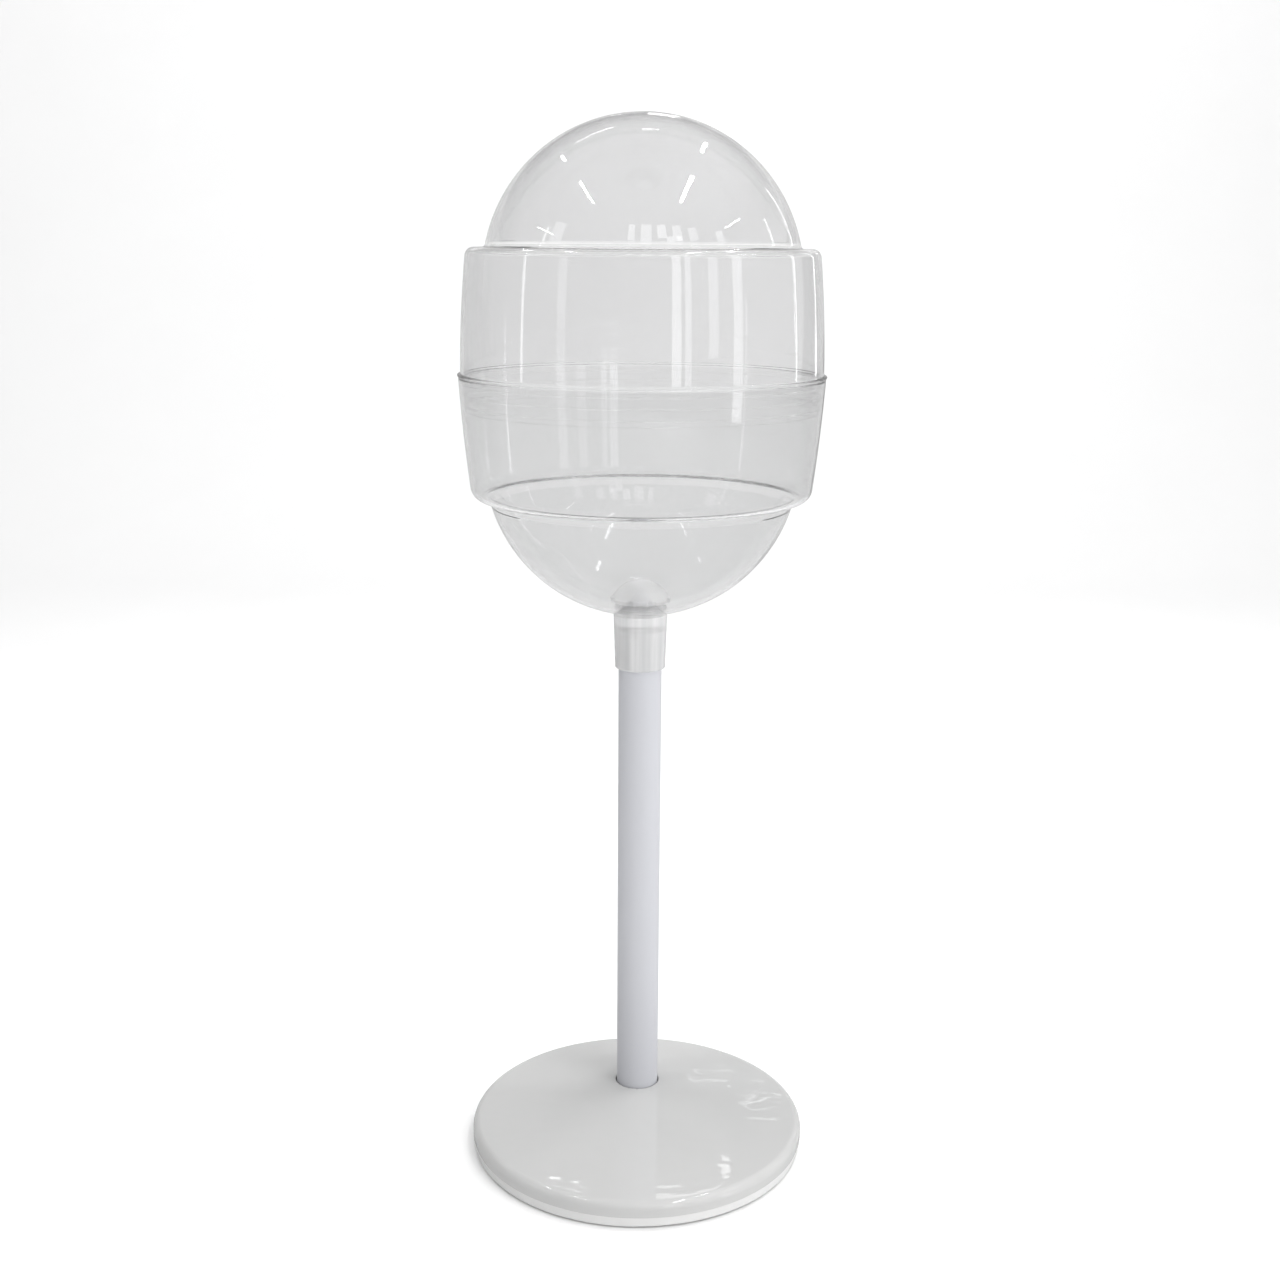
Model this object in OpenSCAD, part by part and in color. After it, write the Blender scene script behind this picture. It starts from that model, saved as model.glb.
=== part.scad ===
// Bulk-sweet display capsule on a pole stand.
// A clear two-part capsule (lower bowl shell and lift-off lid) sits in a
// clear neck socket on a white tube, which bolts to a weighted round base.
// Units are millimetres. The origin is the centre of the base's underside,
// on the floor, with +Z up. The pole and capsule stand off-centre on the
// base, towards +Y. Both capsule shells are turned shapes about the pole.

/* [Base] */
// Outside radius of the base cover
base_r = 193; // [185:1:200]
// Height of the top of the base cover above the floor
base_h = 30; // [29:0.5:34]
// Radius of the rounded top edge of the base cover
base_nose_r = 9; // [6:0.5:12]
// Height of the visible rim of the bottom tray
tray_rim_h = 12.6; // [11:0.2:14]
// Wall thickness of the moulded base cover
cover_wall = 3; // [2.5:0.1:3.5]
// Distance of the pole axis behind the centre of the base
pole_y = 82; // [70:1:90]
// Number of screws that hold the tray to the cover
screw_count = 8; // [6:1:10]

/* [Pole] */
// Outside radius of the pole tube
pole_r = 25; // [24.8:0.05:25]
// Wall thickness of the pole tube
pole_wall = 1.5; // [1.2:0.1:2]
// Height of the top of the pole tube above the floor
pole_top = 598; // [590:1:598]

/* [Neck] */
// Outside radius of the neck socket at its lower end
collar_r_low = 28.9; // [28.6:0.1:30]
// Outside radius of the neck socket at its shoulder
collar_r_high = 30.8; // [30:0.1:31]
// Height of the lower end of the neck socket
collar_z0 = 554.6; // [548:0.2:560]
// Height of the shoulder of the neck socket
collar_z1 = 617.6; // [616:0.2:618]
// Number of relief grooves in the neck bush
bush_grooves = 12; // [6:1:18]

/* [Capsule] */
// Wall thickness of both clear shells
shell_t = 3; // [2.6:0.1:3.2]
// Outside radius of the bowl's sphere
bowl_r = 177.3; // [176.5:0.1:178]
// Outside radius of the dome's sphere
dome_r = 176.3; // [175:0.1:178]
// Height of the centre of the dome's sphere
dome_z = 993.2; // [990:0.2:996]
// Height of the flat shoulder of the lid
shoulder_z = 1027.3; // [1022:0.1:1030]
// Radius of the lid's shoulder corner
shoulder_cr = 10; // [7:0.5:13]
// Height of the underside of the lower band
band_z0 = 753; // [750:0.5:756]
// Radius of the lower band's bottom corner
band_cr = 14; // [10:0.5:16]
// Greatest radius of the lid's flange at the seam
flange_r = 205; // [204.5:0.1:206]
// Depth of the lid's spigot below the seam
spigot_depth = 37.7; // [36:0.1:42]
// Number of turned ribs on the lid's spigot
spigot_ribs = 3; // [2:1:3]

/* [Hidden] */
$fn = 96;

// --- derived heights ---
pad_t = 1.5;                     // rubber pad under the tray
tray_t = 3;                      // tray floor
pan_z = 15.5;                    // underside of the raised pan under the pole
pan_t = 3;
foot_z = pan_z + pan_t;          // the tube stands here
screw_pcr = base_r - 24;         // screw circle radius
ballast_r = base_r - 35;
bore_gap = 0.06;                 // radial clearance of the running fits
bush_r = 26.6;
collar_bore = bush_r + bore_gap;
washer_t = 2;                    // thrust washer on top of the pole
ceiling_z = pole_top + washer_t; // inside top of the neck socket
head_z = 627;                    // top of the neck socket's chamfered head
head_r = 19.6;
spigot_r = 15;                   // threaded spigot through the bowl
spigot_top = 650;
gasket_t = 1.2;
bowl_flat_z = head_z + gasket_t; // underside of the bowl's raised seat
seat_z = bowl_flat_z + shell_t;  // inside face of the bowl's raised seat
nut_z0 = seat_z + 1.2;
nut_r = 34.5;
seam_z = 889;
rim_z = seam_z - 1.5;            // top of the lower shell
seal_t = 1.2;
flange_z0 = rim_z + seal_t;
flange_t = 2.6;
bowl_z = 618.9 + bowl_r;         // centre of the bowl's sphere

// The two bands are shallow barrels: arcs of large circles.
lb_rho = 1805; lb_rc = 207.11 - lb_rho; lb_zc = 995;
ub_rho = 1435; ub_rc = 201.65 - ub_rho; ub_zc = 877.2;

// centre radius of a corner circle that touches a barrel arc from inside
function corner_r(rc, zc, rho, cr, z) = rc + sqrt(pow(rho - cr, 2) - pow(z - zc, 2));
// height at which that corner circle touches the arc
function touch_z(zc, rho, cr, z) = zc + (z - zc) * rho / (rho - cr);
// radius of a barrel arc at height z
function arc_r(rc, zc, rho, z) = rc + sqrt(pow(rho, 2) - pow(z - zc, 2));

lc_z = band_z0 + band_cr;
lc_r = corner_r(lb_rc, lb_zc, lb_rho, band_cr, lc_z);
lt_z = touch_z(lb_zc, lb_rho, band_cr, lc_z);
uc_z = shoulder_z - shoulder_cr;
uc_r = corner_r(ub_rc, ub_zc, ub_rho, shoulder_cr, uc_z);
ut_z = touch_z(ub_zc, ub_rho, shoulder_cr, uc_z);

// --- turned outlines, in the (radius, height) half plane ---

// a slice of a barrel between two heights, inset by t
module barrel(rc, zc, rho, t, z0, z1)
    intersection() {
        translate([rc, zc]) circle(r = rho - t, $fn = 1440);
        translate([0, z0]) square([260, z1 - z0]);
    }

// the solid form of the bowl and lower band, inset by t
module lower_form(t) {
    barrel(lb_rc, lb_zc, lb_rho, t, lt_z, rim_z + (t > 0 ? 5 : 0));
    translate([0, band_z0 + t]) square([lc_r, lt_z - band_z0 - t + 1]);
    translate([lc_r, lc_z]) circle(r = band_cr - t, $fn = 64);
    intersection() {
        translate([0, bowl_z]) circle(r = bowl_r - t, $fn = 360);
        translate([0, 600]) square([260, band_z0 + t + 1 - 600]);
    }
}

// the solid form of the lid's band, shoulder and dome, inset by t
module upper_form(t) {
    barrel(ub_rc, ub_zc, ub_rho, t, flange_z0 + (t > 0 ? flange_t : 0), ut_z);
    translate([0, ut_z - 1]) square([uc_r, shoulder_z - t - ut_z + 1]);
    translate([uc_r, uc_z]) circle(r = shoulder_cr - t, $fn = 64);
    intersection() {
        translate([0, dome_z]) circle(r = dome_r - t, $fn = 360);
        translate([0, shoulder_z - t - 1]) square([260, 200]);
    }
}

// trapezium below height z1, r1 wide at the top and widening downwards
module seat_cone(r1, z1, z0)
    polygon([[0, z0], [r1 + (z1 - z0) * 1.19, z0], [r1, z1], [0, z1]]);

module on_pole() translate([0, pole_y, 0]) children();

// --- base ---

module floor_pad() color("dimgray")
    difference() {
        cylinder(r = ballast_r - 3, h = pad_t, $fn = 180);
        on_pole() translate([0, 0, -1]) cylinder(r = 42, h = pad_t + 2);
    }

module screw_places()
    for (i = [0:screw_count - 1]) rotate([0, 0, (i + 0.5) * 360 / screw_count])
        translate([screw_pcr, 0, 0]) children();

module base_plate() color("white")
    difference() {
        union() {
            // tray floor and rim
            rotate_extrude($fn = 240) difference() {
                union() {
                    translate([0, pad_t]) square([base_r - 3, tray_t]);
                    translate([0, pad_t + 1.5]) square([base_r - 1.5, tray_rim_h - pad_t - 1.5]);
                    translate([base_r - 3, pad_t + 1.5]) circle(r = 1.5, $fn = 32);
                }
                translate([-1, pad_t + tray_t]) square([base_r - 4.5 + 1, 20]);
            }
            // raised pan for the anchor bolt
            on_pole() translate([0, 0, pad_t]) cylinder(r = 41, h = foot_z - pad_t);
        }
        on_pole() translate([0, 0, pad_t - 1]) cylinder(r = 38, h = pan_z - pad_t + 1);
        on_pole() cylinder(r = 6.5, h = 30, $fn = 48);
        screw_places() {
            cylinder(r = 2.2, h = 20, $fn = 32);
            translate([0, 0, pad_t - 0.01]) cylinder(r1 = 4.2, r2 = 2.2, h = 2.1, $fn = 32);
        }
    }

module base_cover() color("whitesmoke")
    difference() {
        union() {
            rotate_extrude($fn = 240) difference() {
                union() {
                    translate([0, tray_rim_h + 0.4]) square([base_r, base_h - base_nose_r - tray_rim_h - 0.4]);
                    translate([0, tray_rim_h + 0.4]) square([base_r - base_nose_r, base_h - tray_rim_h - 0.4]);
                    translate([base_r - base_nose_r, base_h - base_nose_r]) circle(r = base_nose_r, $fn = 64);
                }
                // hollow inside
                translate([-1, -1]) square([base_r - cover_wall + 1, base_h - base_nose_r + 1]);
                translate([-1, -1]) square([base_r - base_nose_r + 1, base_h - cover_wall + 1]);
                translate([base_r - base_nose_r, base_h - base_nose_r]) circle(r = base_nose_r - cover_wall, $fn = 64);
            }
            // hub round the pole and bosses for the tray screws
            on_pole() translate([0, 0, base_h - 8]) cylinder(r = 31, h = 7);
            screw_places() translate([0, 0, pad_t + tray_t]) cylinder(r = 5, h = base_h - 2 - pad_t - tray_t, $fn = 48);
        }
        on_pole() cylinder(r = pole_r + 1, h = 60);
        screw_places() translate([0, 0, pad_t]) cylinder(r = 1.6, h = 16, $fn = 32);
    }

module base_ballast() color("lightslategray")
    difference() {
        translate([0, 0, pad_t + tray_t]) cylinder(r = ballast_r, h = base_h - 9 - pad_t - tray_t, $fn = 180);
        on_pole() cylinder(r = 42, h = foot_z + 0.5);
        on_pole() cylinder(r = pole_r + 0.2, h = 60);
    }

module base_screws() color("silver")
    screw_places() difference() {
        union() {
            translate([0, 0, pad_t]) cylinder(r1 = 4.1, r2 = 1.6, h = 2.1, $fn = 32);
            translate([0, 0, pad_t]) cylinder(r = 1.6, h = 13, $fn = 32);
        }
        // cross recess
        translate([0, 0, pad_t]) for (a = [0, 90]) rotate([0, 0, a])
            cube([4, 0.8, 2.4], center = true);
    }

module anchor_bolt() color("silver") on_pole() {
    difference() {
        translate([0, 0, 3]) cylinder(r = 10.4, h = 7.5, $fn = 6);
        // chamfered corners of the hexagon
        translate([0, 0, 2.99]) difference() {
            cylinder(r = 14, h = 1.6, $fn = 48);
            cylinder(r1 = 9.1, r2 = 10.8, h = 1.61, $fn = 48);
        }
    }
    translate([0, 0, 9]) cylinder(r = 5.95, h = 43, $fn = 48);
    translate([0, 0, 52]) cylinder(r1 = 5.95, r2 = 4.8, h = 1.5, $fn = 48);
}

module anchor_lock_washer() color("dimgray") on_pole()
    translate([0, 0, 10.5]) difference() {
        cylinder(r = 10.2, h = 2.5, $fn = 64);
        translate([0, 0, -1]) cylinder(r = 6.2, h = 5, $fn = 48);
        // the split in the ring
        rotate([22, 0, 0]) translate([5, -0.6, -4]) cube([8, 1.2, 10]);
    }

module anchor_washer() color("silver") on_pole()
    translate([0, 0, 13]) difference() {
        cylinder(r = 22, h = 2.5);
        translate([0, 0, -1]) cylinder(r = 6.5, h = 5, $fn = 48);
    }

// --- pole ---

module pole_foot_plug() color("gray") on_pole()
    difference() {
        union() {
            translate([0, 0, foot_z]) cylinder(r = pole_r - pole_wall - 0.05, h = 12);
            translate([0, 0, foot_z + 12]) cylinder(r = 14, h = 22);
            translate([0, 0, foot_z + 34]) cylinder(r = pole_r - pole_wall - 0.05, h = 6);
        }
        translate([0, 0, foot_z - 1]) cylinder(r = 6, h = 60, $fn = 48);
    }

module pole() color("whitesmoke") on_pole()
    difference() {
        translate([0, 0, foot_z]) cylinder(r = pole_r, h = pole_top - foot_z, $fn = 120);
        translate([0, 0, foot_z - 1]) cylinder(r = pole_r - pole_wall, h = pole_top, $fn = 120);
    }

module pole_top_plug() color("white") on_pole()
    difference() {
        translate([0, 0, pole_top - 24]) cylinder(r = pole_r - pole_wall - 0.05, h = 24);
        translate([0, 0, pole_top - 25]) cylinder(r = pole_r - pole_wall - 3, h = 21);
    }

// --- neck ---

module neck_thrust_washer() color("gainsboro") on_pole()
    translate([0, 0, pole_top]) difference() {
        cylinder(r = pole_r - 0.5, h = washer_t);
        translate([0, 0, -1]) cylinder(r = 9, h = washer_t + 2);
    }

module neck_bush() color("gainsboro") on_pole()
    difference() {
        translate([0, 0, collar_z0 + 1.5]) cylinder(r = bush_r, h = pole_top - collar_z0 - 1.5, $fn = 120);
        translate([0, 0, collar_z0]) cylinder(r = pole_r + bore_gap, h = 80, $fn = 120);
        for (i = [0:bush_grooves - 1]) rotate([0, 0, i * 360 / bush_grooves])
            translate([bush_r + 0.5, 0, collar_z0 + 4]) cylinder(r = 1, h = 80, $fn = 24);
    }

module collar() color([0.82, 0.84, 0.86, 0.6]) on_pole()
    rotate_extrude($fn = 120) difference() {
        union() {
            polygon([[0, collar_z0 + 1.2], [collar_r_low + 0.04, collar_z0 + 1.2], [collar_r_high, collar_z1],
                     [head_r, head_z], [0, head_z]]);
            translate([0, collar_z0]) square([collar_r_low - 1.2, 2]);
            translate([collar_r_low - 1.2, collar_z0 + 1.2]) circle(r = 1.2, $fn = 32);
            // threaded spigot through the bowl
            translate([0, head_z - 1]) square([spigot_r - 0.9, spigot_top - head_z + 1]);
            for (i = [0:5]) translate([0, head_z + 6.5 + i * 3])
                polygon([[0, -1.2], [spigot_r - 0.9, -1.2], [spigot_r, -0.4], [spigot_r, 0.4], [spigot_r - 0.9, 1.2], [0, 1.2]]);
        }
        translate([-1, collar_z0 - 1]) square([collar_bore + 1, ceiling_z - collar_z0 + 1]);
    }

module bowl_gasket() color("lightgray") on_pole()
    translate([0, 0, head_z]) difference() {
        cylinder(r = head_r, h = gasket_t);
        translate([0, 0, -1]) cylinder(r = spigot_r + 0.4, h = gasket_t + 2);
    }

// --- capsule ---

module lower_shell() color([0.86, 0.87, 0.88, 0.35]) on_pole()
    rotate_extrude($fn = 240) intersection() {
        translate([0, 600]) square([260, 400]);
        difference() {
            lower_form(0);
            seat_cone(20.3, bowl_flat_z, 560);
            difference() {
                lower_form(shell_t);
                seat_cone(22.5, seat_z, 560);
            }
            translate([-1, 600]) square([spigot_r + 0.3 + 1, 50]);
        }
    }

module nut_washer() color("white") on_pole()
    translate([0, 0, seat_z]) difference() {
        cylinder(r = 22, h = nut_z0 - seat_z);
        translate([0, 0, -1]) cylinder(r = spigot_r + 0.4, h = 5);
    }

module cap_nut() color("white") on_pole()
    difference() {
        rotate_extrude($fn = 120) intersection() {
            translate([0, nut_z0]) square([60, 60]);
            union() {
                translate([0, nut_z0]) square([nut_r - 1, 4.6]);
                translate([0, nut_z0 + 1]) square([nut_r, 2.6]);
                translate([nut_r - 1, nut_z0 + 1]) circle(r = 1, $fn = 32);
                translate([nut_r - 1, nut_z0 + 3.6]) circle(r = 1, $fn = 32);
                translate([0, nut_z0 - 11.8]) circle(r = 36.4, $fn = 120);
            }
        }
        translate([0, 0, nut_z0 - 1]) cylinder(r = spigot_r + 0.05, h = spigot_top - nut_z0 + 2);
        // finger notches round the rim
        for (i = [0:7]) rotate([0, 0, i * 45 + 22.5])
            translate([nut_r + 4.5, 0, nut_z0 - 1]) cylinder(r = 7, h = 8, $fn = 48);
    }

module seal_ring() color("gainsboro") on_pole()
    translate([0, 0, rim_z]) difference() {
        cylinder(r = 203.7, h = seal_t, $fn = 240);
        translate([0, 0, -1]) cylinder(r = 200.5, h = seal_t + 2, $fn = 240);
    }

module upper_shell() color([0.86, 0.87, 0.88, 0.35]) on_pole()
    rotate_extrude($fn = 240) intersection() {
        translate([0, 800]) square([260, 400]);
        difference() {
            union() {
                upper_form(0);
                // flange at the seam
                translate([0, flange_z0]) square([flange_r - 1.3, flange_t]);
                translate([flange_r - 1.3, flange_z0 + flange_t / 2]) circle(r = flange_t / 2, $fn = 32);
                // spigot, parallel to the inside of the lower band
                barrel(lb_rc, lb_zc, lb_rho, shell_t + 0.9, seam_z - spigot_depth, flange_z0 + 1);
                for (i = [0:spigot_ribs - 1])
                    translate([arc_r(lb_rc, lb_zc, lb_rho - shell_t - 0.4, seam_z - 8 - i * 11.7) - 2.2,
                               seam_z - 8 - i * 11.7]) circle(r = 2.2, $fn = 48);
            }
            upper_form(shell_t);
            barrel(lb_rc, lb_zc, lb_rho, shell_t + 2.7, seam_z - spigot_depth - 5, flange_z0 + flange_t + 1);
        }
    }

floor_pad();
base_plate();
base_cover();
base_ballast();
base_screws();
anchor_bolt();
anchor_lock_washer();
anchor_washer();
pole_foot_plug();
pole();
pole_top_plug();
neck_thrust_washer();
neck_bush();
collar();
bowl_gasket();
lower_shell();
nut_washer();
cap_nut();
seal_ring();
upper_shell();
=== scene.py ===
import math
import random

import bmesh
import bpy
from mathutils import Matrix, Vector


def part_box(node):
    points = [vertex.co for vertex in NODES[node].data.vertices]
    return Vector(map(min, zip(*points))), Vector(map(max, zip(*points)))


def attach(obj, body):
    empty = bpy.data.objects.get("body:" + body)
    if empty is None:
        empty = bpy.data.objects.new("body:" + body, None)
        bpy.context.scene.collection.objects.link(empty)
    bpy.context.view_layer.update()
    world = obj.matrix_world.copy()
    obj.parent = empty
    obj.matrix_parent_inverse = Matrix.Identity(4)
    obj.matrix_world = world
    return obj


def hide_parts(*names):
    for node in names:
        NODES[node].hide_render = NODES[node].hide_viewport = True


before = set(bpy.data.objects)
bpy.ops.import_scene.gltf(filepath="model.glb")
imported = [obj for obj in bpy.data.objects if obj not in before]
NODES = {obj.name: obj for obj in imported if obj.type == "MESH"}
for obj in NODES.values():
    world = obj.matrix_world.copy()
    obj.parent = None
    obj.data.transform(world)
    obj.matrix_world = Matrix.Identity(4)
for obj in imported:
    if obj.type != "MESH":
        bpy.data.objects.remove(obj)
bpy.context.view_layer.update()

MM = 0.001

# ---------------------------------------------------------------- positions
p_lo, p_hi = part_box("pole")
AX = (p_lo.x + p_hi.x) / 2
AY = (p_lo.y + p_hi.y) / 2
c_lo, c_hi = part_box("base_cover")
BX = (c_lo.x + c_hi.x) / 2
BY = (c_lo.y + c_hi.y) / 2

# ------------------------------------------------------------------- camera
# The lens stands about 1.0 m above the floor and 1.83 m in front of the pole.
PITCH = math.radians(13.36)
ROLL = math.radians(0.41)
cam_data = bpy.data.cameras.new("camera")
cam_data.sensor_width = 36.0
cam_data.lens = 1622.0 / 1280.0 * 36.0
cam_data.clip_start = 0.05
cam_data.clip_end = 60
cam_data.dof.use_dof = False
cam = bpy.data.objects.new("camera", cam_data)
bpy.context.scene.collection.objects.link(cam)
fwd = Vector((0, math.cos(PITCH), -math.sin(PITCH)))
up0 = Vector((0, math.sin(PITCH), math.cos(PITCH)))
rt0 = Vector((1, 0, 0))
up = up0 * math.cos(ROLL) - rt0 * math.sin(ROLL)
rt = rt0 * math.cos(ROLL) + up0 * math.sin(ROLL)
m = Matrix.Identity(4)
for i in range(3):
    m[i][0], m[i][1], m[i][2] = rt[i], up[i], -fwd[i]
m.translation = Vector((AX - 0.0003, AY - 1.826, 1.020))
cam.matrix_world = m
bpy.context.scene.camera = cam


# ------------------------------------------------------------ outline tools
def arc(cx, cz, r, a0, a1, n):
    """Points of an arc in the (radius, height) plane, angles in degrees."""
    out = []
    for i in range(n + 1):
        a = math.radians(a0 + (a1 - a0) * i / n)
        out.append((cx + r * math.cos(a), cz + r * math.sin(a)))
    return out


def fillet(points, closed=True):
    """points are (r, z) or (r, z, fillet radius). Returns (r, z) with round corners."""
    out = []
    n = len(points)
    for i, p in enumerate(points):
        f = p[2] if len(p) > 2 else 0
        if not f or (not closed and i in (0, n - 1)):
            out.append((p[0], p[1]))
            continue
        a = Vector(points[(i - 1) % n][:2]) - Vector(p[:2])
        b = Vector(points[(i + 1) % n][:2]) - Vector(p[:2])
        la, lb = a.length, b.length
        a.normalize()
        b.normalize()
        ang = a.angle(b)
        if ang > math.pi - 0.01:
            out.append((p[0], p[1]))
            continue
        t = min(f / math.tan(ang / 2), la * 0.49, lb * 0.49)
        rad = t * math.tan(ang / 2)
        mid = (a + b).normalized()
        c = Vector(p[:2]) + mid * (rad / math.sin(ang / 2))
        s = Vector(p[:2]) + a * t - c
        e = Vector(p[:2]) + b * t - c
        steps = max(3, int(math.degrees(math.pi - ang) / 12))
        a0 = math.atan2(s.y, s.x)
        d = math.atan2(e.y, e.x) - a0
        while d > math.pi:
            d -= 2 * math.pi
        while d < -math.pi:
            d += 2 * math.pi
        for k in range(steps + 1):
            w = a0 + d * k / steps
            out.append((c.x + rad * math.cos(w), c.y + rad * math.sin(w)))
    return out


def clean(pts, tol=0.02):
    out = []
    for p in pts:
        if not out or (p[0] - out[-1][0]) ** 2 + (p[1] - out[-1][1]) ** 2 > tol * tol:
            out.append(p)
    return out


def lathe(name, pts, seg=192, cx=AX, cy=AY, closed=True, radial=None, close_axis=False):
    """Turns an outline given in mm about a vertical axis. radial(r, z, angle) may change a radius."""
    pts = clean(pts)
    if closed and len(pts) > 2 and (pts[0][0] - pts[-1][0]) ** 2 + (pts[0][1] - pts[-1][1]) ** 2 < 0.0004:
        pts = pts[:-1]
    me = bpy.data.meshes.new(name)
    bm = bmesh.new()
    rings = []
    for r, z in pts:
        if r < 0.02:
            rings.append([bm.verts.new((cx, cy, z * MM))])
            continue
        ring = []
        for i in range(seg):
            a = 2 * math.pi * i / seg
            rr = radial(r, z, a) if radial else r
            ring.append(bm.verts.new((cx + rr * math.cos(a) * MM, cy + rr * math.sin(a) * MM, z * MM)))
        rings.append(ring)
    n = len(rings)
    for k in range(n if closed else n - 1):
        A, B = rings[k], rings[(k + 1) % n]
        if len(A) == 1 and len(B) == 1:
            continue
        for i in range(seg):
            j = (i + 1) % seg
            if len(A) == 1:
                bm.faces.new((A[0], B[j], B[i]))
            elif len(B) == 1:
                bm.faces.new((A[i], A[j], B[0]))
            else:
                bm.faces.new((A[i], A[j], B[j], B[i]))
    bmesh.ops.recalc_face_normals(bm, faces=bm.faces)
    for f in bm.faces:
        f.smooth = True
    bm.to_mesh(me)
    bm.free()
    ob = bpy.data.objects.new(name, me)
    bpy.context.scene.collection.objects.link(ob)
    return ob


def assign(ob, mat):
    ob.data.materials.clear()
    ob.data.materials.append(mat)


# ---------------------------------------------------------------- materials
def new_mat(name):
    mat = bpy.data.materials.new(name)
    mat.use_nodes = True
    nt = mat.node_tree
    nt.nodes.clear()
    return mat, nt


def add(nt, kind, **kw):
    n = nt.nodes.new(kind)
    for k, v in kw.items():
        setattr(n, k, v)
    return n


def noise(nt, scale, detail=4.0, rough=0.55, stretch=(1, 1, 1), distort=0.0):
    co = add(nt, "ShaderNodeTexCoord")
    mp = add(nt, "ShaderNodeMapping")
    mp.inputs["Scale"].default_value = stretch
    nt.links.new(co.outputs["Object"], mp.inputs["Vector"])
    no = add(nt, "ShaderNodeTexNoise")
    no.inputs["Scale"].default_value = scale
    no.inputs["Detail"].default_value = detail
    no.inputs["Roughness"].default_value = rough
    no.inputs["Distortion"].default_value = distort
    nt.links.new(mp.outputs["Vector"], no.inputs["Vector"])
    return no.outputs["Fac"]


def ramp(nt, src, a, b, lo, hi):
    """Maps src from a..b to lo..hi, clamped."""
    n = add(nt, "ShaderNodeMapRange")
    n.inputs["From Min"].default_value = a
    n.inputs["From Max"].default_value = b
    n.inputs["To Min"].default_value = lo
    n.inputs["To Max"].default_value = hi
    nt.links.new(src, n.inputs["Value"])
    return n.outputs["Result"]


def math_node(nt, op, a, b=None):
    n = add(nt, "ShaderNodeMath", operation=op)
    for i, v in enumerate((a, b)):
        if v is None:
            continue
        if isinstance(v, (int, float)):
            n.inputs[i].default_value = v
        else:
            nt.links.new(v, n.inputs[i])
    return n.outputs[0]


def mix_rgb(nt, fac, a, b):
    n = add(nt, "ShaderNodeMix", data_type="RGBA")
    nt.links.new(fac, n.inputs[0])
    n.inputs[6].default_value = (*a, 1)
    n.inputs[7].default_value = (*b, 1)
    return n.outputs[2]


def bump(nt, height, strength, distance, normal=None):
    n = add(nt, "ShaderNodeBump")
    n.inputs["Strength"].default_value = strength
    n.inputs["Distance"].default_value = distance
    nt.links.new(height, n.inputs["Height"])
    if normal is not None:
        nt.links.new(normal, n.inputs["Normal"])
    return n.outputs["Normal"]


def clear_plastic(name, tint, rough=(0.015, 0.05), streak=0.05, wave=0.05, shadow=0.93, ior=1.49):
    """Moulded clear plastic: slight grey tint, faint flow streaks down the wall, smudges and fine dust."""
    mat, nt = new_mat(name)
    out = add(nt, "ShaderNodeOutputMaterial")
    p = add(nt, "ShaderNodeBsdfPrincipled")
    p.inputs["Base Color"].default_value = (*tint, 1)
    p.inputs["Transmission Weight"].default_value = 1.0
    p.inputs["IOR"].default_value = ior
    smudge = noise(nt, 9.0, 5.0, 0.6, (1, 1, 1), 0.6)
    dust = noise(nt, 260.0, 2.0, 0.5)
    r1 = ramp(nt, smudge, 0.45, 0.7, rough[0], rough[1])
    r2 = ramp(nt, dust, 0.66, 0.78, 0.0, 0.12)
    nt.links.new(math_node(nt, "ADD", r1, r2), p.inputs["Roughness"])
    flow = noise(nt, 34.0, 3.0, 0.5, (1, 1, 0.07), 0.2)
    swell = noise(nt, 5.0, 2.0, 0.5, (1, 1, 0.6))
    n1 = bump(nt, flow, streak, 0.0012)
    n2 = bump(nt, swell, wave, 0.004, n1)
    nt.links.new(n2, p.inputs["Normal"])
    tr = add(nt, "ShaderNodeBsdfTransparent")
    tr.inputs["Color"].default_value = (shadow, shadow, shadow, 1)
    lp = add(nt, "ShaderNodeLightPath")
    mx = add(nt, "ShaderNodeMixShader")
    nt.links.new(lp.outputs["Is Shadow Ray"], mx.inputs[0])
    nt.links.new(p.outputs[0], mx.inputs[1])
    nt.links.new(tr.outputs[0], mx.inputs[2])
    nt.links.new(mx.outputs[0], out.inputs["Surface"])
    return mat


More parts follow.
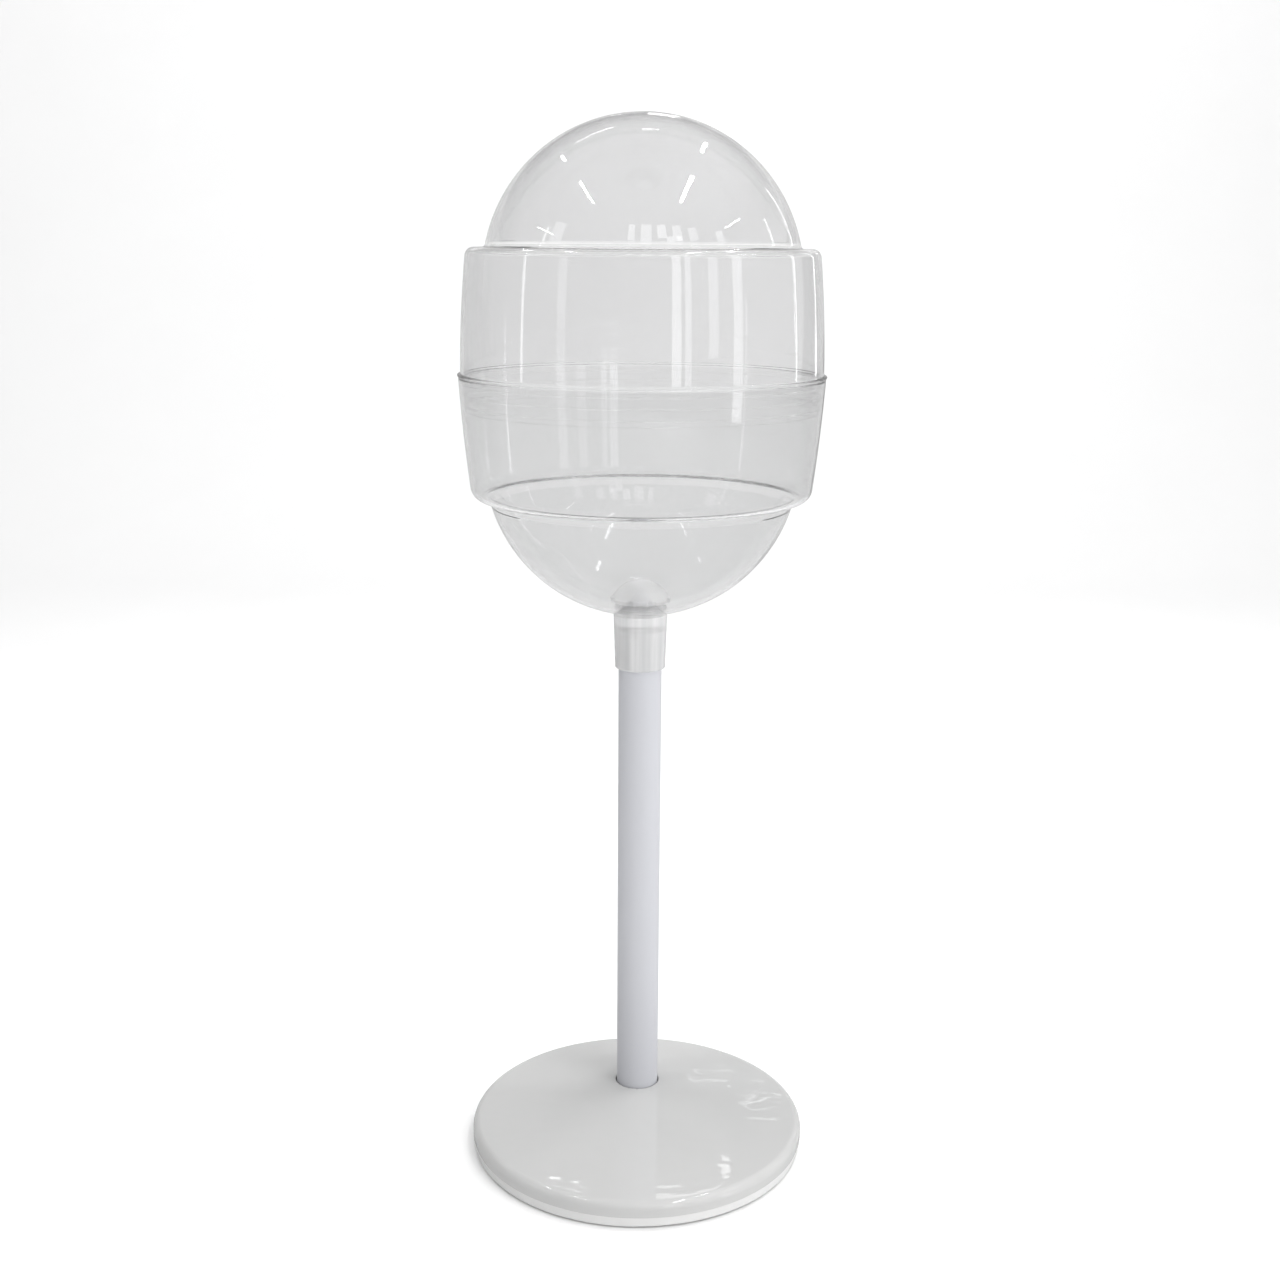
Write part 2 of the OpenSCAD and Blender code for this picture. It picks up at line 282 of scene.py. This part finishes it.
def milky_plastic(name, tint, clear, rough, streak, tint_b=None, spec=0.5):
    """Clouded moulded plastic: part of the light passes, the rest scatters at the surface."""
    mat, nt = new_mat(name)
    out = add(nt, "ShaderNodeOutputMaterial")
    p = add(nt, "ShaderNodeBsdfPrincipled")
    bands = noise(nt, 75.0, 3.0, 0.6, (1, 1, 0.02))
    nt.links.new(mix_rgb(nt, ramp(nt, bands, 0.38, 0.62, 0.0, 1.0), tint, tint_b or tint), p.inputs["Base Color"])
    p.inputs["Specular IOR Level"].default_value = spec
    p.inputs["Transmission Weight"].default_value = clear
    p.inputs["IOR"].default_value = 1.46
    cloud = noise(nt, 14.0, 4.0, 0.55, (1, 1, 0.3), 0.3)
    nt.links.new(ramp(nt, cloud, 0.4, 0.7, rough[0], rough[1]), p.inputs["Roughness"])
    if streak:
        flow = noise(nt, 90.0, 3.0, 0.5, (1, 1, 0.03))
        nt.links.new(bump(nt, flow, streak, 0.0006), p.inputs["Normal"])
    else:
        nt.links.new(bump(nt, noise(nt, 60.0, 2.0, 0.5), 0.03, 0.001), p.inputs["Normal"])
    tr = add(nt, "ShaderNodeBsdfTransparent")
    tr.inputs["Color"].default_value = (0.72, 0.72, 0.72, 1)
    lp = add(nt, "ShaderNodeLightPath")
    mx = add(nt, "ShaderNodeMixShader")
    nt.links.new(lp.outputs["Is Shadow Ray"], mx.inputs[0])
    nt.links.new(p.outputs[0], mx.inputs[1])
    nt.links.new(tr.outputs[0], mx.inputs[2])
    nt.links.new(mx.outputs[0], out.inputs["Surface"])
    return mat


def solid_plastic(name, col_a, col_b, rough, coat=0.0, grain=0.02, grain_scale=420.0, mottle=3.0, spec=0.5,
                  ripple=0.0, metallic=0.0):
    """Moulded or painted surface: slow colour drift, scuffs in the gloss, fine orange peel."""
    mat, nt = new_mat(name)
    out = add(nt, "ShaderNodeOutputMaterial")
    p = add(nt, "ShaderNodeBsdfPrincipled")
    drift = noise(nt, mottle, 4.0, 0.55, (1, 1, 1), 0.4)
    col = mix_rgb(nt, ramp(nt, drift, 0.35, 0.65, 0.0, 1.0), col_a, col_b)
    nt.links.new(col, p.inputs["Base Color"])
    scuff = noise(nt, 26.0, 6.0, 0.65, (1, 1, 1), 1.2)
    nt.links.new(ramp(nt, scuff, 0.4, 0.7, rough[0], rough[1]), p.inputs["Roughness"])
    p.inputs["Specular IOR Level"].default_value = spec
    p.inputs["Metallic"].default_value = metallic
    p.inputs["Coat Weight"].default_value = coat
    p.inputs["Coat Roughness"].default_value = 0.06
    peel = noise(nt, grain_scale, 3.0, 0.5)
    nrm = bump(nt, peel, grain, 0.0004)
    if ripple:
        nrm = bump(nt, noise(nt, 30.0, 0.0, 0.5, (1, 1.5, 1), 0.5), ripple, 0.0006, nrm)
    nt.links.new(nrm, p.inputs["Normal"])
    nt.links.new(p.outputs[0], out.inputs["Surface"])
    return mat


def brushed_metal(name, base, rough):
    mat, nt = new_mat(name)
    out = add(nt, "ShaderNodeOutputMaterial")
    p = add(nt, "ShaderNodeBsdfPrincipled")
    p.inputs["Metallic"].default_value = 1.0
    n1 = noise(nt, 120.0, 5.0, 0.6, (1, 1, 4))
    nt.links.new(mix_rgb(nt, n1, tuple(c * 0.8 for c in base), base), p.inputs["Base Color"])
    nt.links.new(ramp(nt, n1, 0.3, 0.7, rough * 0.7, rough * 1.4), p.inputs["Roughness"])
    nt.links.new(bump(nt, n1, 0.15, 0.0003), p.inputs["Normal"])
    nt.links.new(p.outputs[0], out.inputs["Surface"])
    return mat


M_SHELL_UP = clear_plastic("clear_shell_lid", (0.843, 0.843, 0.846), streak=0.13)
M_SHELL_LO = clear_plastic("clear_shell_bowl", (0.814, 0.816, 0.818), streak=0.13)
# painted light: the spigot is the lid plastic with a much lighter tint and a lower IOR, so the overlapping walls at
# the seam read lighter than the extra walls would let them
M_SPIGOT = clear_plastic("clear_shell_spigot", (0.975, 0.975, 0.976), streak=0.02, wave=0.02, ior=1.37)
# painted light: the top of the bowl's band is the bowl plastic with a lighter tint, so the zone under the seam reads
# lighter
M_RIM = clear_plastic("clear_shell_rim", (0.841, 0.842, 0.844), streak=0.13)
M_NECK = milky_plastic("milky_neck", (0.72, 0.723, 0.73), 0.42, rough=(0.14, 0.22), streak=0.75, tint_b=(0.87, 0.87, 0.873), spec=0.14)
M_NUT = milky_plastic("milky_nut", (0.95, 0.95, 0.952), 0.66, rough=(0.34, 0.44), streak=0.0, spec=0.2)
# painted light: the shoulder corner is the lid plastic with a lighter tint and a low IOR, so its dark refracted line
# is washed out
M_CORNER_LIGHTENED = clear_plastic("clear_shell_corner", (0.95, 0.95, 0.95), streak=0.02, wave=0.02, ior=1.26)
# painted light: the rim, seam edge and band-bottom corner use the plastic with a lighter tint and a low IOR, so their
# dark edge lines are softened
M_SOFT = clear_plastic("clear_shell_edge", (0.87, 0.87, 0.873), streak=0.02, wave=0.02, ior=1.28)
M_SEAL = clear_plastic("silicone_ring", (0.97, 0.97, 0.97), rough=(0.08, 0.14), streak=0.0, wave=0.0, shadow=0.95, ior=1.41)
M_COVER = solid_plastic("cover_plastic", (0.51, 0.512, 0.51), (0.54, 0.54, 0.537), (0.02, 0.05), grain=0.006,
                         ripple=0.30)
M_TRAY = solid_plastic("tray_plastic", (0.68, 0.682, 0.678), (0.72, 0.72, 0.715), (0.3, 0.42), grain=0.05, grain_scale=700)
M_POLE = solid_plastic("pole_powder_coat", (0.555, 0.561, 0.593), (0.565, 0.571, 0.603), (0.30, 0.33), coat=0.0, grain=0.02,
                       grain_scale=700, mottle=1.5, spec=0.16)
M_BUSH = solid_plastic("nylon", (0.74, 0.74, 0.735), (0.78, 0.78, 0.775), (0.35, 0.5), grain=0.05)
M_PAD = solid_plastic("foam_rubber", (0.48, 0.48, 0.48), (0.56, 0.56, 0.555), (0.75, 0.9), grain=0.5, grain_scale=1500)
M_BALLAST = solid_plastic("cast_cement", (0.24, 0.24, 0.235), (0.34, 0.335, 0.33), (0.8, 0.95), grain=0.6,
                          grain_scale=300, mottle=30)
M_STEEL = brushed_metal("zinc_plated_steel", (0.66, 0.66, 0.68), 0.3)


# ------------------------------------------------------- capsule dimensions
LB = (207.11 - 1805.0, 995.0, 1805.0)  # lower band barrel: centre r, centre z, radius
UB = (201.65 - 1435.0, 877.2, 1435.0)  # upper band barrel
T = 3.0
BOWL_R, BOWL_Z = 177.3, 796.2
DOME_R, DOME_Z = 176.3, 993.2
SHOULDER_Z, SHOULDER_CR = 1027.3, 10.0
BAND_Z0, BAND_CR = 753.0, 14.0
RIM_Z, FLANGE_Z0, FLANGE_T, FLANGE_R = 887.5, 888.7, 2.6, 205.0
SEAM_Z = 889.0


def barrel_r(b, z, t=0.0):
    return b[0] + math.sqrt((b[2] - t) ** 2 - (z - b[1]) ** 2)


def corner(b, cr, z):
    """Centre radius of a corner circle inside a barrel, and the height where it touches it."""
    return b[0] + math.sqrt((b[2] - cr) ** 2 - (z - b[1]) ** 2), b[1] + (z - b[1]) * b[2] / (b[2] - cr)


def barrel_pts(b, z0, z1, t, n):
    return [(barrel_r(b, z0 + (z1 - z0) * i / n, t), z0 + (z1 - z0) * i / n) for i in range(n + 1)]


def ring_fillet(sphere_r, sphere_z, plane_z, f, side):
    """Centre of the fillet between a sphere and a flat ring outside it (side -1 below, +1 above the ring)."""
    zc = plane_z + side * f
    rc = math.sqrt((sphere_r + f) ** 2 - (zc - sphere_z) ** 2)
    return rc, zc, math.degrees(math.atan2(zc - sphere_z, rc))


def lower_outline():
    cz = BAND_Z0 + BAND_CR
    cr_r, touch = corner(LB, BAND_CR, cz)
    tang = math.degrees(math.atan2(touch - cz, barrel_r(LB, touch) - cr_r))
    pts = [(15.3, 628.2, 0.4), (20.3, 628.2, 2.0)]
    # mouth of the recess under the bowl, where its cone meets the sphere
    pts += [(27.75, 621.06 + 0.05, 1.5)]
    a0 = math.degrees(math.asin((621.3 - BOWL_Z) / BOWL_R))
    fr, fz, fa = ring_fillet(BOWL_R, BOWL_Z, BAND_Z0, 4.0, -1)
    pts += arc(0, BOWL_Z, BOWL_R, a0 + 1.0, fa, 64)
    pts += arc(fr, fz, 4.0, 180 + fa, 90, 14)[1:]
    pts += arc(cr_r, cz, BAND_CR, -90, tang, 24)
    top = barrel_r(LB, RIM_Z)
    pts += barrel_pts(LB, touch + 2.0, RIM_Z - 1.5, 0, 28)
    pts += [(top, RIM_Z, 0.8), (barrel_r(LB, RIM_Z, T), RIM_Z, 0.6)]
    # inside
    ti = LB[1] + (cz - LB[1]) * (LB[2] - T) / (LB[2] - BAND_CR)
    tin = math.degrees(math.atan2(ti - cz, barrel_r(LB, ti, T) - cr_r))
    pts += barrel_pts(LB, RIM_Z - 1.5, ti + 2.0, T, 28)
    pts += arc(cr_r, cz, BAND_CR - T, tin, -90, 20)
    pts += arc(fr, fz, 4.0 + T, 90, 180 + fa, 18)
    b0 = math.degrees(math.asin((624.6 - BOWL_Z) / (BOWL_R - T)))
    pts += arc(0, BOWL_Z, BOWL_R - T, fa, b0 + 1.0, 64)[1:]
    pts += [(30.1, 624.55, 2.5), (22.5, 631.2, 2.0), (15.3, 631.2, 0.4)]
    return fillet(pts)


def upper_outline():
    cz = SHOULDER_Z - SHOULDER_CR
    cr_r, touch = corner(UB, SHOULDER_CR, cz)
    tang = math.degrees(math.atan2(touch - cz, barrel_r(UB, touch) - cr_r))
    fr, fz, fa = ring_fillet(DOME_R, DOME_Z, SHOULDER_Z, 3.5, 1)
    pts = arc(0, DOME_Z, DOME_R, 90, fa, 76)
    pts += arc(fr, fz, 3.5, 180 + fa, 270, 14)[1:]
    pts += arc(cr_r, cz, SHOULDER_CR, 90, tang, 20)
    pts += barrel_pts(UB, touch - 2.0, FLANGE_Z0 + FLANGE_T + 1.5, 0, 28)
    pts += [(barrel_r(UB, FLANGE_Z0 + FLANGE_T), FLANGE_Z0 + FLANGE_T, 0.7)]
    pts += arc(FLANGE_R - 1.3, FLANGE_Z0 + 1.3, 1.3, 90, -90, 12)
    t_out, t_in, t_rib = T + 0.9, T + 2.7, T + 0.4
    low = SEAM_Z - 37.7
    pts += [(barrel_r(LB, FLANGE_Z0, t_out), FLANGE_Z0, 0.8)]
    # ribs: soft round beads on the spigot
    z = FLANGE_Z0 - 1.0
    ribs = [SEAM_Z - 8 - i * 11.7 for i in range(3)]
    while z > low + 0.9:
        r = barrel_r(LB, z, t_out)
        for zr in ribs:
            if abs(z - zr) < 1.4:
                r += 0.22 * (1 + math.cos(math.pi * (z - zr) / 1.4))
        pts.append((r, z))
        z -= 0.35 if min(abs(z - zr) for zr in ribs) < 2.0 else 1.0
    pts += [(barrel_r(LB, low, t_out), low, 0.7), (barrel_r(LB, low, t_in), low, 0.7)]
    pts += barrel_pts(LB, low + 1.5, FLANGE_Z0 + FLANGE_T - 1.0, t_in, 24)
    pts += [(barrel_r(LB, FLANGE_Z0 + FLANGE_T, t_in), FLANGE_Z0 + FLANGE_T, 0.6),
            (barrel_r(UB, FLANGE_Z0 + FLANGE_T, T), FLANGE_Z0 + FLANGE_T + 1.2, 0.6)]
    ti = UB[1] + (cz - UB[1]) * (UB[2] - T) / (UB[2] - SHOULDER_CR)
    tin = math.degrees(math.atan2(ti - cz, barrel_r(UB, ti, T) - cr_r))
    pts += barrel_pts(UB, FLANGE_Z0 + FLANGE_T + 3.0, ti - 2.0, T, 28)
    pts += arc(cr_r, cz, SHOULDER_CR - T, tin, 90, 16)
    pts += arc(fr, fz, 3.5 + T, 270, 180 + fa, 18)
    pts += arc(0, DOME_Z, DOME_R - T, fa, 90, 76)[1:]
    return fillet(pts, closed=False)


lower = lathe("lower_shell_clear", lower_outline(), seg=240)
assign(lower, M_SHELL_LO)
lower.data.materials.append(M_RIM)
lower.data.materials.append(M_SOFT)
# painted light: the band's top takes the lightened rim copy, and the seam edge and band-bottom corner the lightened
# edge copy of the bowl plastic
for face in lower.data.polygons:
    if face.center.z > 851.5 * MM:
        face.material_index = 1
    if face.center.z > 884.5 * MM or (745.0 * MM < face.center.z < 758.0 * MM
                                      and math.hypot(face.center.x - AX, face.center.y - AY) < 0.1775):
        face.material_index = 2
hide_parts("lower_shell")
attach(lower, "bowl")

upper = lathe("upper_shell_clear", upper_outline(), seg=240, closed=False)
assign(upper, M_SHELL_UP)
upper.data.materials.append(M_SPIGOT)
upper.data.materials.append(M_CORNER_LIGHTENED)
upper.data.materials.append(M_SOFT)
# painted light: the shoulder corner, the flange edge and the spigot take lightened copies of the lid plastic
for face in upper.data.polygons:
    if 1023.0 * MM < face.center.z < 1032.0 * MM:
        face.material_index = 2
    elif 888.8 * MM < face.center.z < 893.0 * MM:
        face.material_index = 3
    if face.center.z < (FLANGE_Z0 + 0.1) * MM and math.hypot(face.center.x - AX, face.center.y - AY) < 0.2015:
        face.material_index = 1
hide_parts("upper_shell")
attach(upper, "lid")

# ----------------------------------------------------------------- seal ring
ring = lathe("seal_ring_soft", fillet([(200.5, RIM_Z + 0.05, 0.4), (203.7, RIM_Z + 0.05, 0.4),
                                      (203.7, FLANGE_Z0 - 0.05, 0.4), (200.5, FLANGE_Z0 - 0.05, 0.4)]), seg=256)
assign(ring, M_SEAL)
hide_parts("seal_ring")
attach(ring, "seal")

# --------------------------------------------------------------- neck socket
neck = [(26.66, 554.6, 0.6), (28.9, 554.6, 1.2)]
neck += [(28.96 + (30.8 - 28.96) * i / 20, 557 + (616.0 - 557) * i / 20) for i in range(21)]
neck += [(30.8, 617.6, 0.8), (19.6, 627.0, 0.8), (14.1, 627.0, 0.3)]
for i in range(6):
    z = 627 + 6.5 + i * 3
    neck += [(14.1, z - 1.2), (15.0, z - 0.4), (15.0, z + 0.4), (14.1, z + 1.2)]
neck += [(14.1, 650.0, 1.0), (0, 650.0), (0, 600.0), (26.66, 600.0, 1.0)]
collar = lathe("neck_socket_clear", fillet(neck), seg=192)
assign(collar, M_NECK)
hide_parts("collar")
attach(collar, "bowl")


# ------------------------------------------------------------------- cap nut
def notched(r, z, a):
    if z > 638.5 or r < 25:
        return r
    k = math.fmod(a + 2 * math.pi - math.radians(22.5) + math.radians(22.5), math.radians(45)) - math.radians(22.5)
    # distance from the notch cutter's centre line
    cx = 39.0
    d = cx * math.sin(k)
    if abs(d) >= 7:
        return r
    limit = cx * math.cos(k) - math.sqrt(49 - d * d)
    return min(r, limit)


Z0 = 632.4
nut = [(15.05, Z0, 0.4), (34.5, Z0, 1.0), (34.5, Z0 + 4.6, 1.2)]
a0 = math.degrees(math.asin((Z0 + 5.4 - (Z0 - 11.8)) / 36.4))
nut += arc(0, Z0 - 11.8, 36.4, a0, 90, 40)
nut += [(0, 651.0), (15.05, 651.0, 0.6)]
cap = lathe("cap_nut_domed", fillet(nut), seg=384, radial=notched)
assign(cap, M_NUT)
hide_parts("cap_nut")
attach(cap, "bowl")

# ---------------------------------------------------------------------- pole
PR, PT = 25.0, 23.5
foot = p_lo.z / MM
top = p_hi.z / MM
tube = [(PT, foot, 0.3), (PR, foot, 0.5)]
tube += [(PR, foot + 2 + (top - foot - 4) * i / 60) for i in range(61)]
tube += [(PR, top, 0.5), (PT, top, 0.3)]
tube += [(PT, top - 2 - (top - foot - 4) * i / 10) for i in range(11)]
pole = lathe("pole_tube", fillet(tube), seg=128)
assign(pole, M_POLE)
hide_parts("pole")
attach(pole, "stand")

# ---------------------------------------------------------------- base cover
cover_pts = [(190.0, 13.0, 0.4), (193.0, 13.0, 0.6)]
cover_pts += arc(184.0, 21.0, 9.0, 0, 90, 28)
cover_pts += [(184 - 184 * i / 40, 30.0) for i in range(1, 41)]
cover_pts += [(0, 27.0)]
cover_pts += [(184 * i / 20, 27.0) for i in range(1, 21)]
cover_pts += arc(184.0, 21.0, 6.0, 90, 0, 16)
cover = lathe("base_cover_gloss", fillet(cover_pts), seg=256, cx=BX, cy=BY)


def bool_cut(ob, cutter):
    md = ob.modifiers.new("cut", "BOOLEAN")
    md.operation = "DIFFERENCE"
    md.solver = "EXACT"
    md.object = cutter
    bpy.context.view_layer.update()
    dg = bpy.context.evaluated_depsgraph_get()
    me = bpy.data.meshes.new_from_object(ob.evaluated_get(dg))
    ob.modifiers.clear()
    old = ob.data
    ob.data = me
    bpy.data.meshes.remove(old)
    bpy.data.objects.remove(cutter)


hole = lathe("hole_cutter", [(0, 40), (27.2, 40), (27.2, 30.4), (26.6, 29.75), (26.1, 29.2), (26.0, 28.6), (26.0, 20), (0, 20)],
             seg=160)
bool_cut(cover, hole)
assign(cover, M_COVER)
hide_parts("base_cover")
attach(cover, "stand")

# ------------------------------------------- CAD pieces that keep their shape
for names, mat in (
    (("base_plate",), M_TRAY),
    (("base_ballast",), M_BALLAST),
    (("floor_pad",), M_PAD),
    (("base_screws", "anchor_bolt", "anchor_lock_washer", "anchor_washer", "pole_foot_plug"), M_STEEL),
    (("pole_top_plug", "neck_thrust_washer", "neck_bush", "nut_washer"), M_BUSH),
    (("bowl_gasket",), M_SEAL),
):
    for n in names:
        ob = NODES[n]
        for s in ob.material_slots:
            s.material = mat

# ------------------------------------------------------------ floor and light
def cyclorama():
    me = bpy.data.meshes.new("studio_sweep")
    bm = bmesh.new()
    prof = [(-7.0, 0.0)] + [(y, 0.0) for y in (-5, -3, -1, 0.5, 2.0, 3.2)]
    for i in range(1, 25):
        a = math.radians(90 * i / 24)
        prof.append((3.2 + 2.0 * math.sin(a), 2.0 - 2.0 * math.cos(a)))
    prof += [(5.2, 2.7)]
    cols = [-9, -5, -2, 0, 2, 5, 9]
    grid = [[bm.verts.new((x, y, z)) for x in cols] for y, z in prof]
    for i in range(len(prof) - 1):
        for j in range(len(cols) - 1):
            bm.faces.new((grid[i][j], grid[i][j + 1], grid[i + 1][j + 1], grid[i + 1][j])).smooth = True
    bm.to_mesh(me)
    bm.free()
    ob = bpy.data.objects.new("studio_sweep", me)
    bpy.context.scene.collection.objects.link(ob)
    return ob


floor = cyclorama()
mat, nt = new_mat("pale_floor")
o = add(nt, "ShaderNodeOutputMaterial")
p = add(nt, "ShaderNodeBsdfPrincipled")
nz = noise(nt, 3.0, 4.0, 0.5)
paper = mix_rgb(nt, nz, (0.915, 0.915, 0.915), (0.935, 0.935, 0.935))
# painted reflection: the floor's mirror image in the plastic is a darker grey than the floor itself, so the clear
# edges still read against white
seen = add(nt, "ShaderNodeLightPath")
dark_reflection_mix = add(nt, "ShaderNodeMix", data_type="RGBA")
through = math_node(nt, "MULTIPLY", seen.outputs["Is Transmission Ray"], -1.0)
only_mirror = math_node(nt, "MAXIMUM", math_node(nt, "ADD", seen.outputs["Is Glossy Ray"], through), 0.0)
nt.links.new(only_mirror, dark_reflection_mix.inputs[0])
nt.links.new(paper, dark_reflection_mix.inputs[6])
dark_reflection_mix.inputs[7].default_value = (0.46, 0.46, 0.46, 1)
nt.links.new(dark_reflection_mix.outputs[2], p.inputs["Base Color"])
p.inputs["Roughness"].default_value = 0.6
p.inputs["Specular IOR Level"].default_value = 0.2
nt.links.new(p.outputs[0], o.inputs["Surface"])
assign(floor, mat)

world = bpy.data.worlds.new("soft_studio")
bpy.context.scene.world = world
world.use_nodes = True
wt = world.node_tree
bg = wt.nodes["Background"]
bg.inputs[0].default_value = (1.0, 1.0, 1.0, 1)
# bright pale walls all round, a dimmer ceiling above them, dimmer on the left
sky = add(wt, "ShaderNodeTexCoord")
sep = add(wt, "ShaderNodeSeparateXYZ")
wt.links.new(sky.outputs["Generated"], sep.inputs[0])
low = ramp(wt, sep.outputs[2], 0.20, 0.42, 0.88, 0.42)
high = ramp(wt, sep.outputs[2], 0.50, 0.80, 0.0, 0.40)
level = math_node(wt, "ADD", low, high)
side = ramp(wt, sep.outputs[0], -0.8, 0.6, 0.27, 1.04)
# what is seen directly, and half of what is seen through the plastic, is an even pale wall
ray = add(wt, "ShaderNodeLightPath")
half = math_node(wt, "MULTIPLY", ray.outputs["Is Transmission Ray"], 0.5)
direct = math_node(wt, "MAXIMUM", ray.outputs["Is Camera Ray"], half)
even = add(wt, "ShaderNodeMix", data_type="FLOAT")
wt.links.new(direct, even.inputs[0])
wt.links.new(math_node(wt, "MULTIPLY", level, side), even.inputs[2])
even.inputs[3].default_value = 0.93
wt.links.new(even.outputs[0], bg.inputs[1])


def area(name, loc, target, size, power, color=(1, 1, 1)):
    d = bpy.data.lights.new(name, "AREA")
    d.shape = "RECTANGLE"
    d.size, d.size_y = size
    d.energy = power
    d.color = color
    ob = bpy.data.objects.new(name, d)
    bpy.context.scene.collection.objects.link(ob)
    ob.location = loc
    v = Vector(target) - Vector(loc)
    ob.rotation_euler = v.to_track_quat("-Z", "Y").to_euler()
    ob.visible_camera = False
    return ob


def tube(name, x, y0, y1, power, z=2.6, width=0.04):
    return area(name, (x, (y0 + y1) / 2, z), (x, (y0 + y1) / 2, 0), (width, y1 - y0), power)


# rows of long tubes overhead, running front to back
tube("tube_a", -1.07, -0.94, -0.17, 7)
tube("tube_b", 0.78, -1.03, -0.21, 12, width=0.07)
tube("tube_c", 0.75, 0.60, 1.08, 5, width=0.05)
tube("tube_d", -3.3, -1.20, -0.16, 7, width=0.05)
tube("tube_e", 2.55, -1.10, -0.27, 7, width=0.05)
tube("tube_f", -1.10, 0.75, 1.10, 1.5)
# two across, which the dome's top reflects as a thin arc
area("batten_a", (-0.58, 1.30, 2.6), (-0.58, 1.30, 0), (0.50, 0.022), 0.26)
area("batten_b", (0.08, 0.97, 2.6), (0.08, 0.97, 0), (0.20, 0.03), 0.14)
# a row far back that the base's rippled top breaks into small marks
area("batten_c", (0.33, 4.86, 2.62), (0.33, 0.6, 0), (0.18, 0.022), 0.023)
area("batten_d", (0.55, 4.66, 2.62), (0.55, 0.6, 0), (0.16, 0.024), 0.028)
# short ones far behind the stand, which the base's top and its rounded edge reflect
tube("tube_g", 0.362, 4.07, 4.24, 0.06, z=2.65)
area("batten_e", (0.19, 3.56, 2.62), (0.19, 0.6, 0), (0.30, 0.40), 0.75)
tube("tube_i", -0.32, 3.87, 3.93, 0.04, z=2.6)
tube("tube_j", -0.25, 3.84, 3.88, 0.03, z=2.6)


def upright(name, azimuth, dist, z0, z1, width, power):
    """A tall narrow light at an azimuth from +Y, turned to the pole."""
    a = math.radians(azimuth)
    x, y = AX + dist * math.sin(a), AY + dist * math.cos(a)
    return area(name, (x, y, (z0 + z1) / 2), (AX, AY, (z0 + z1) / 2), (width, z1 - z0), power)


# tall bright windows behind the camera to the right, and thin ones at the sides
upright("window_a", 160, 3.6, 0.55, 3.0, 0.36, 6)
upright("window_b", 153, 3.6, 0.55, 3.0, 0.24, 3)
upright("window_c", 137, 3.6, 0.9, 1.9, 0.40, 1.6)
upright("window_d", 121, 3.6, 0.05, 3.0, 0.40, 7)
upright("fanlight_a", -171, 3.6, 2.8, 3.75, 0.34, 2.0)
upright("fanlight_b", 178, 3.6, 2.75, 3.75, 0.52, 3.2)
upright("fanlight_c", 166, 3.6, 2.9, 3.70, 0.44, 2.4)
upright("fanlight_d", 154, 3.6, 2.75, 3.60, 0.40, 2.0)
upright("fanlight_e", 142, 3.6, 2.70, 3.40, 0.46, 1.6)
upright("fanlight_l", -113, 3.6, 2.35, 3.3, 0.66, 2.6)
upright("strip_r1", 72, 3.4, 0.6, 2.6, 0.08, 2.6)
upright("strip_r2", 44, 3.2, 0.7, 2.6, 0.07, 1.4)
upright("strip_l", -103, 3.4, 0.5, 2.8, 0.10, 2.2)
# soft key from above right, and light on the backdrop; neither shows in a reflection
key = area("key_soft", (2.6, -2.2, 3.6), (0, 0.082, 0.5), (1.8, 1.8), 12)
wash = area("back_wash", (0.0, 1.0, 4.4), (0, 4.2, 0.3), (7.0, 1.6), 150)
fill = area("front_fill", (1.1, -3.3, 0.9), (0, 0, 0.15), (1.6, 1.2), 20)
for light in (key, wash, fill):
    light.visible_glossy = False
    light.visible_transmission = False

sc = bpy.context.scene
sc.view_settings.view_transform = "Standard"
sc.view_settings.look = "None"
sc.view_settings.exposure = 0.0
sc.view_settings.gamma = 1.0
sc.cycles.max_bounces = 64
sc.cycles.transmission_bounces = 48
sc.cycles.glossy_bounces = 48
sc.cycles.transparent_max_bounces = 24
sc.cycles.diffuse_bounces = 4
sc.cycles.caustics_refractive = True
sc.cycles.caustics_reflective = False
sc.cycles.sample_clamp_indirect = 6.0
sc.cycles.use_denoising = True
